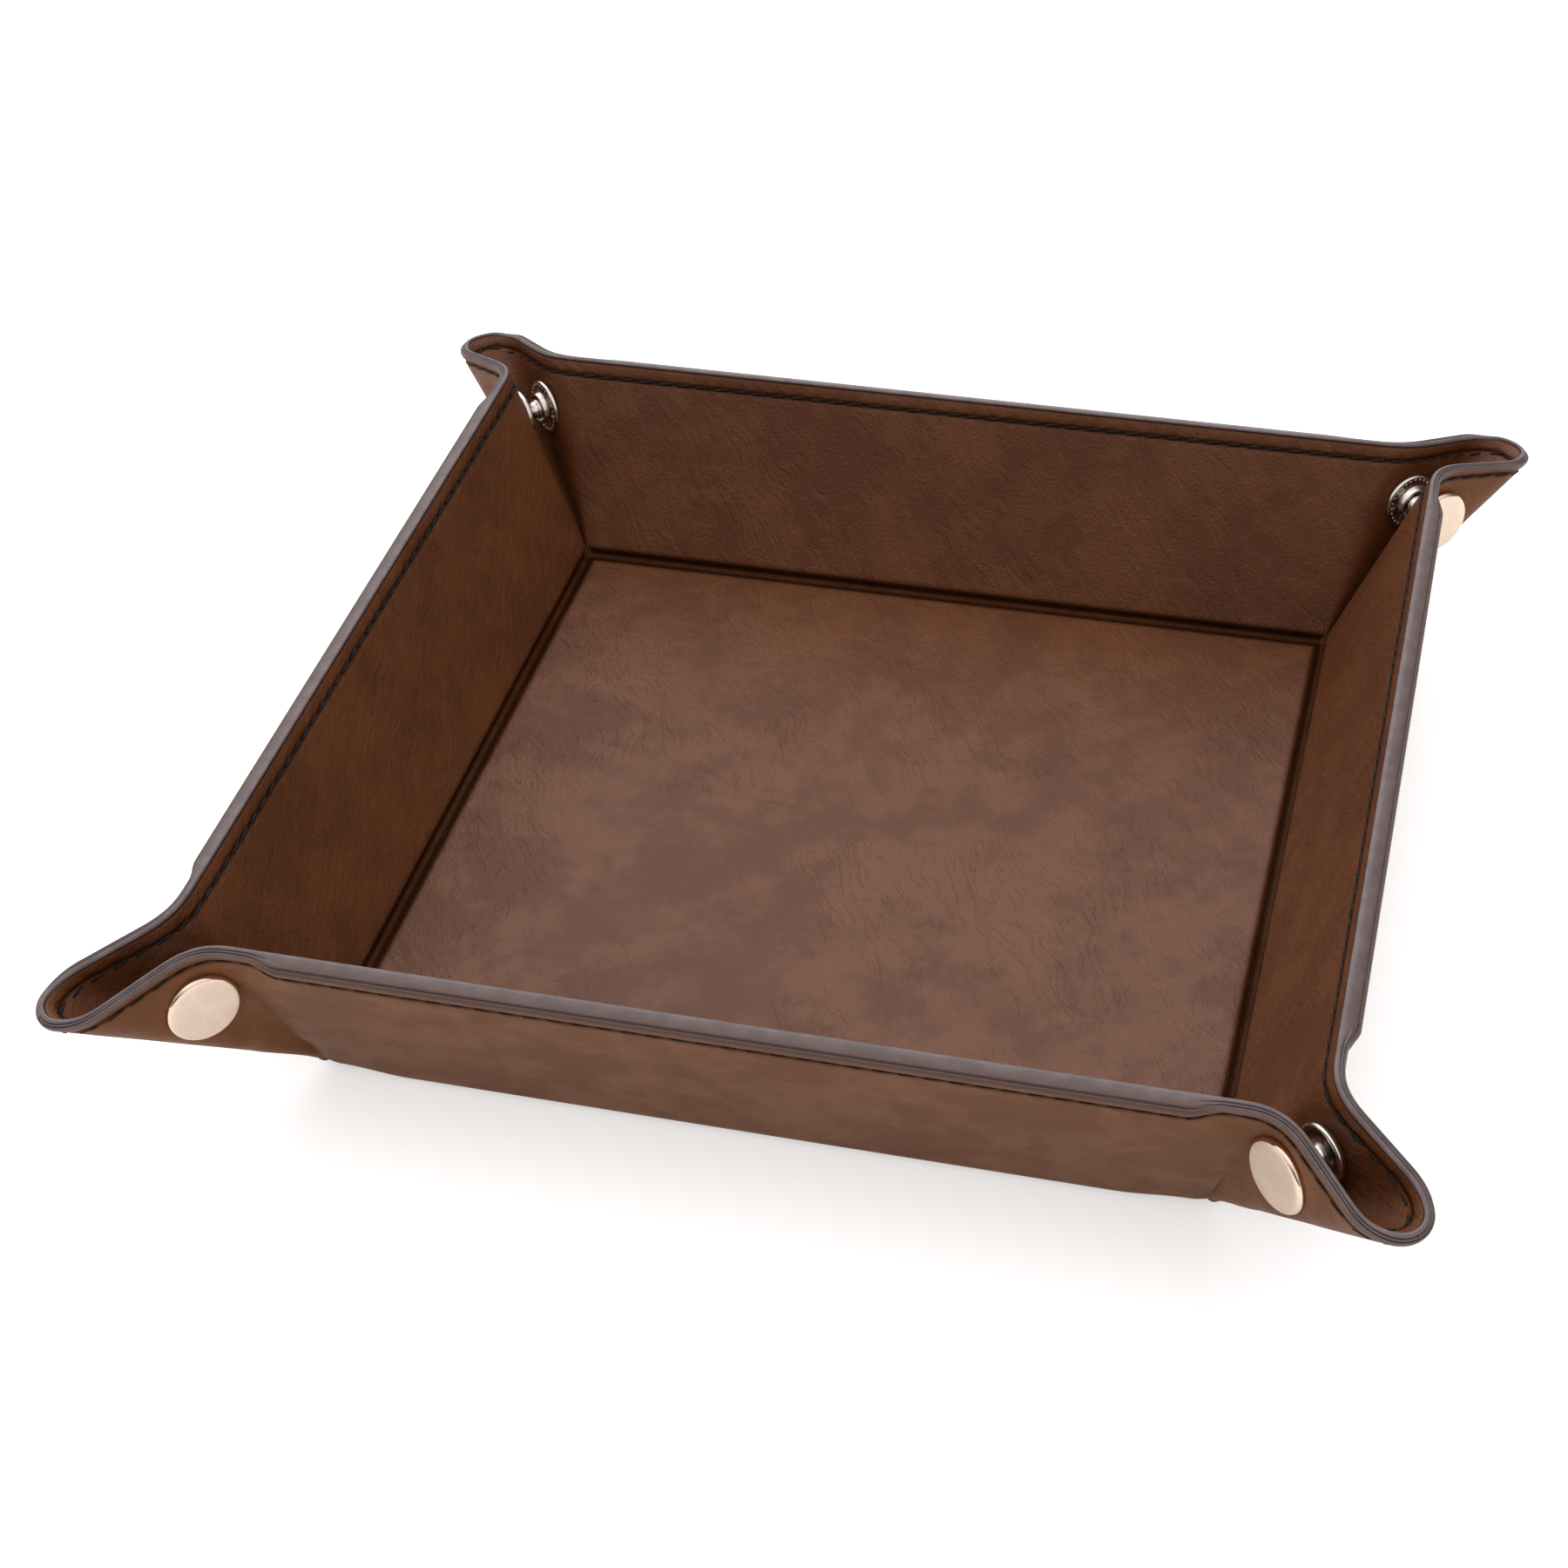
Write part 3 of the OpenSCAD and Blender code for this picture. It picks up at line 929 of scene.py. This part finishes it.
def corner_knob(ear):
    """The pinched knob of leather where two creases and an ear meet at an inner corner."""
    inward = -unit(ear.wall.flat_out + ear.side)
    axis = unit(inward * 0.75 + UP * 0.66)
    r = KNOB_R / MM
    head = [(0, 0.25)] + arc(0.6, -1.1, r - 0.7, 90, 0, 7)
    outline = head + arc(0.4, -1.1, r - 0.6, 0, -80, 7) + [(0, -2.5)]
    materials = [LINING_LEATHER, SKIN_LEATHER]
    piece = revolved("piping_" + ear.name, ear.corner, axis, outline, 36, materials)
    points = np.array([v.co[:] for v in piece.data.vertices])
    heights = (points - ear.corner) @ axis
    for face in piece.data.polygons:
        face.material_index = 0 if max(heights[i] for i in face.vertices) > -0.8 * MM else 1
    point_attribute(piece, "sheet", "FLOAT_VECTOR", points / MM)
    # Painted shade: the knob is darker low down, where it meets the creases
    point_attribute(piece, "groove", "FLOAT", [0.9 * dip(h, -0.4 * MM, 0.9 * MM) for h in heights])
    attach(piece, "base")


# ---- Snaps ----

# Beads of the ring inside a socket
BEAD_COUNT = 26


def snap_piece(piece, node, ear):
    """Makes a piece stand for a snap node and move with its flank."""
    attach(piece, ear.flank_body)
    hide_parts(node)


def snap_cap(ear):
    """Flat round cap with a rolled edge."""
    node = ear.name + "_cap"
    centre, _, top, radius = snap_place(node, ear)
    r = radius / MM
    roll = 0.85
    outline = [(0, 0), (r - 2.2, -0.02), (r - 1.2, -0.05)]
    outline += arc(r - roll, -roll - 0.07, roll, 90, -55, 11)
    outline += [(r - 0.9, -1.75), (0, -1.8)]
    seat = centre + ear.normal * top
    piece = revolved("cap_" + ear.name, seat, ear.normal, outline, 96, [CAP_METAL])
    snap_piece(piece, node, ear)


def snap_socket(ear):
    """Round socket: a rolled rim, a ring of beads, a dished floor and a collar round the bore."""
    node = ear.name + "_socket"
    centre, front, back, radius = snap_place(node, ear)
    r = radius / MM
    depth = (back - front) / MM
    outline = [(0, -depth + 0.6), (2.2, -depth + 0.6), (2.35, -0.5)]
    outline += arc(2.8, -0.4, 0.4, 170, 0, 7)
    outline += [(3.3, -1.2), (3.6, -depth + 1.1), (4.1, -depth + 0.75), (r - 1.1, -depth + 0.9)]
    outline += arc(r - 0.6, -depth + 0.5, 0.6, 110, 0, 7)
    outline += [(r, -depth + 0.2), (r - 0.2, -depth), (0, -depth)]
    seat = centre + ear.normal * front
    parts = [revolved("socket", seat, -ear.normal, outline, 72, [SNAP_METAL])]
    bead = [(0, 0.3)] + arc(0, 0, 0.3, 60, -60, 7) + [(0, -0.3)]
    for spoke in spokes(*side_vectors(ear.normal), BEAD_COUNT):
        place = seat + (spoke * (r - 0.75) + ear.normal * (depth - 0.95)) * MM
        parts.append(revolved("bead", place, -ear.normal, bead, 8, [SNAP_METAL]))
    snap_piece(join("socket_" + ear.name, parts), node, ear)


def snap_stud(ear):
    """Stud with a round tip on a dished base with a rolled rim."""
    node = ear.name + "_stud"
    centre, front, back, radius = snap_place(node, ear)
    r = radius / MM
    depth = (back - front) / MM
    outline = [(0, 0), (0.9, -0.05)] + arc(1.2, -0.95, 0.9, 80, -50, 8)
    outline += [(1.7, -2.2), (1.7, -depth + 1.6), (2.3, -depth + 1.15), (r - 0.9, -depth + 0.75)]
    outline += arc(r - 0.45, -depth + 0.85, 0.45, 150, 0, 8)
    outline += [(r, -depth + 0.3), (r - 0.3, -depth), (0, -depth)]
    seat = centre + ear.normal * front
    piece = revolved("stud_" + ear.name, seat, -ear.normal, outline, 72, [SNAP_METAL])
    snap_piece(piece, node, ear)


# ---- Stitching ----

RINGS_PER_STITCH = 9
SIDES_PER_STITCH = 8
SLANT = math.radians(7)


def stitch_shape(centre, along, outward, side):
    """One stitch: a short run of twisted thread whose ends dive into the leather."""
    across = np.cross(outward, along)
    run = along * math.cos(SLANT) + across * math.sin(SLANT)
    across = np.cross(outward, run)
    vertices, twists, faces = [], [], []
    for i in range(RINGS_PER_STITCH):
        t = 2 * i / (RINGS_PER_STITCH - 1) - 1
        radius = THREAD_R[side] * math.sqrt(max(1 - t ** 6, 0.04))
        rise = 0.6 * THREAD_R[side] * (1 - t ** 4 - t ** 8)
        middle = centre + run * (STITCH_LENGTH[side] / 2) * t + outward * rise
        for k, spoke in enumerate(spokes(across, outward, SIDES_PER_STITCH)):
            vertices.append(middle + spoke * radius)
            twists.append(2.5 * t + 3 * k / SIDES_PER_STITCH)
    for i in range(RINGS_PER_STITCH - 1):
        for k in range(SIDES_PER_STITCH):
            n = (k + 1) % SIDES_PER_STITCH
            a = i * SIDES_PER_STITCH
            b = a + SIDES_PER_STITCH
            faces.append((a + k, a + n, b + n, b + k))
    faces.append(tuple(range(SIDES_PER_STITCH))[::-1])
    top = (RINGS_PER_STITCH - 1) * SIDES_PER_STITCH
    faces.append(tuple(range(top, top + SIDES_PER_STITCH)))
    return vertices, twists, faces


def hole_shade_lens(centre, along, outward):
    """Painted shade of a needle hole: a small flat dark lens on the leather."""
    across = np.cross(outward, along)
    vertices = [centre + outward * 0.06 * MM]
    for k in range(SIDES_PER_STITCH):
        turn = 2 * math.pi * k / SIDES_PER_STITCH
        vertices.append(centre + (along * math.cos(turn) * 0.36 + across * math.sin(turn) * 0.26) * MM)
    vertices.append(centre - outward * 0.06 * MM)
    faces = []
    for k in range(SIDES_PER_STITCH):
        n = (k + 1) % SIDES_PER_STITCH
        faces.append((0, 1 + k, 1 + n))
        faces.append((SIDES_PER_STITCH + 1, 1 + n, 1 + k))
    return vertices, faces


def seam_point(wall, ear, run, side):
    """Place on the stitch line and the way out of the leather there."""
    station = station_at(wall, ear, run)
    if side == LINING:
        return station.point(station.radius(NEEDLE_IN), SEAM_DIP), -station.out
    radius = station.radius(BOBBIN_IN)
    return station.point(radius, station.thickness(BOBBIN_IN, radius) - SEAM_DIP), station.out


def stitches(name, wall, ear, low, high):
    """All stitches on both faces whose middle lies between two runs from the wall's middle."""
    vertices, twists, faces, slots = [], [], [], []

    def add(shape_vertices, shape_twists, shape_faces, slot):
        first = len(vertices)
        vertices.extend(shape_vertices)
        twists.extend(shape_twists)
        faces.extend(tuple(first + i for i in face) for face in shape_faces)
        slots.extend([slot] * len(shape_faces))

    for k in range(STITCHES_PER_HALF):
        middle = (k + 0.5) * PITCH
        if not low <= middle < high:
            continue
        for side in (LINING, SKIN):
            place, outward = seam_point(wall, ear, middle, side)
            behind, _ = seam_point(wall, ear, middle - STITCH_LENGTH[side] / 3, side)
            ahead, _ = seam_point(wall, ear, middle + STITCH_LENGTH[side] / 3, side)
            along = unit(ahead - behind)
            add(*stitch_shape(place, along, outward, side), 0)
            # The painted shade of the needle hole half a pitch ahead
            hole, outward = seam_point(wall, ear, middle + PITCH / 2, side)
            hole_vertices, hole_faces = hole_shade_lens(hole, along, outward)
            add(hole_vertices, [0] * len(hole_vertices), hole_faces, 1)
    piece = new_object(name, vertices, faces, [THREAD, HOLE_SHADE], slots)
    point_attribute(piece, "twist", "FLOAT", twists)
    return piece


def stitch_ear(ear):
    """Stitches of half a wall and its half ear, in three pieces: the one on the wall moves with the wall, the
    other two stay where they are built.
    """
    wall = ear.wall
    seam_run = CREASE_Y + float(np.interp(EAR_SEAM, RUN_ANGLES, RUNS))
    on_wall = stitches(ear.name + "_wall_stitches", wall, ear, 0, CREASE_Y - SEAM_X)
    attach(on_wall, wall.body)
    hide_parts(wall.name + "_stitching")
    on_bend = stitches(ear.name + "_bend_stitches", wall, ear, CREASE_Y - SEAM_X, seam_run)
    ear.bend_ends(ear.flank_at, FLANK_GIVE)
    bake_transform(on_bend)
    on_nose = stitches(ear.name + "_nose_stitches", wall, ear, seam_run, math.inf)
    ear.bend_ends(ear.nose_at, NOSE_GIVE)
    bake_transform(on_nose)


# ---- Build the tray ----

floor_panel()
for wall in walls:
    wall_panel(wall)
    crease_strip(wall)
for ear in ears:
    ear_bend(ear)
    ear_nose(ear)
    stitch_ear(ear)
    snap_cap(ear)
    if ear.name + "_socket" in frame["nodes"]:
        snap_socket(ear)
    else:
        snap_stud(ear)
    if ear.end < 0:
        corner_knob(ear)
for name, node in frame["nodes"].items():
    if name.endswith("_board"):
        node.data.materials.clear()
        node.data.materials.append(GREYBOARD)


# ---- Floor, light and camera ----

def stage_floor():
    """Plain pale floor that glows a little, just below the tray."""
    m = Material("studio_floor")
    cloud = m.noise(m.place(), 0.003)
    pale = m.mix(cloud, (0.80, 0.80, 0.80, 1), (0.84, 0.84, 0.84, 1))
    # The camera sees the floor glow at 0.6 and the tray is lit by its glow at 0.25: the extra glow lightens the
    # tray's shadow on the floor, painted light
    seen = m.add("ShaderNodeLightPath", {}).outputs["Is Camera Ray"]
    glow = m.ramp(seen, 0, 1, 0.25, 0.6)
    material = m.finish(pale, 0.9, cloud, Emission_Color=pale, Emission_Strength=glow)
    half = 3.0
    corners = [(-half, -half, 0), (half, -half, 0), (half, half, 0), (-half, half, 0)]
    floor = new_object("studio_floor", corners, [(0, 1, 2, 3)], [material])
    floor.location.z = -0.05 * MM


def direction(azimuth, elevation):
    """Unit vector; azimuth 0 points to the front of the tray and grows to the right."""
    azimuth, elevation = math.radians(azimuth), math.radians(elevation)
    level = math.cos(elevation)
    return np.array([math.sin(azimuth) * level, -math.cos(azimuth) * level, math.sin(elevation)])


def studio_light():
    """A dim room with soft windows behind, left and right; the camera itself sees plain white."""
    world = bpy.data.worlds.new("studio")
    world.use_nodes = True
    nodes = Nodes(world.node_tree)
    looking = nodes.add("ShaderNodeTexCoord", {}).outputs["Generated"]

    def window(azimuth, elevation, inner, outer, strength):
        toward = nodes.vector("DOT_PRODUCT", looking, tuple(direction(azimuth, elevation)), "Value")
        low, high = math.cos(math.radians(outer)), math.cos(math.radians(inner))
        return nodes.ramp(toward, low, high, 0, strength)

    behind = window(195, 42, 5, 48, 2.0)
    left = window(-75, 50, 5, 60, 1.05)
    right = window(55, 50, 5, 60, 1.0)
    light = nodes.total((behind, 1.0), (left, 1.0), (right, 1.0), (1.0, 0.16))
    seen = nodes.add("ShaderNodeLightPath", {}).outputs["Is Camera Ray"]
    shown = nodes.add("ShaderNodeMix", {0: seen, 2: light, 3: 1.0}, data_type="FLOAT").outputs[0]
    nodes.connect(world.node_tree.nodes["Background"], {"Color": (1, 1, 1, 1), "Strength": shown})
    bpy.context.scene.world = world
    bpy.context.scene.view_settings.view_transform = "Standard"


# Camera: direction and roll in degrees, middle of the picture, distance, and lens in mm
VIEW_AZIMUTH = 15.73
VIEW_ELEVATION = 38.46
VIEW_ROLL = -2.29
VIEW_TARGET = np.array([-10.64, -12.43, 22.02]) * MM
VIEW_DISTANCE = 539.2 * MM
LENS = 70.79
SENSOR = 36


def product_camera():
    """A long lens above the front wall, a little round to the right."""
    back = direction(VIEW_AZIMUTH, VIEW_ELEVATION)
    data = bpy.data.cameras.new("camera")
    data.sensor_width = SENSOR
    data.lens = LENS
    camera = bpy.data.objects.new("camera", data)
    bpy.context.scene.collection.objects.link(camera)
    camera.location = VIEW_TARGET + back * VIEW_DISTANCE
    level = Vector(-back).to_track_quat("-Z", "Y").to_matrix().to_4x4()
    lean = Matrix.Rotation(math.radians(VIEW_ROLL), 4, "Z")
    camera.rotation_euler = (level @ lean).to_euler()
    bpy.context.scene.camera = camera


stage_floor()
studio_light()
product_camera()
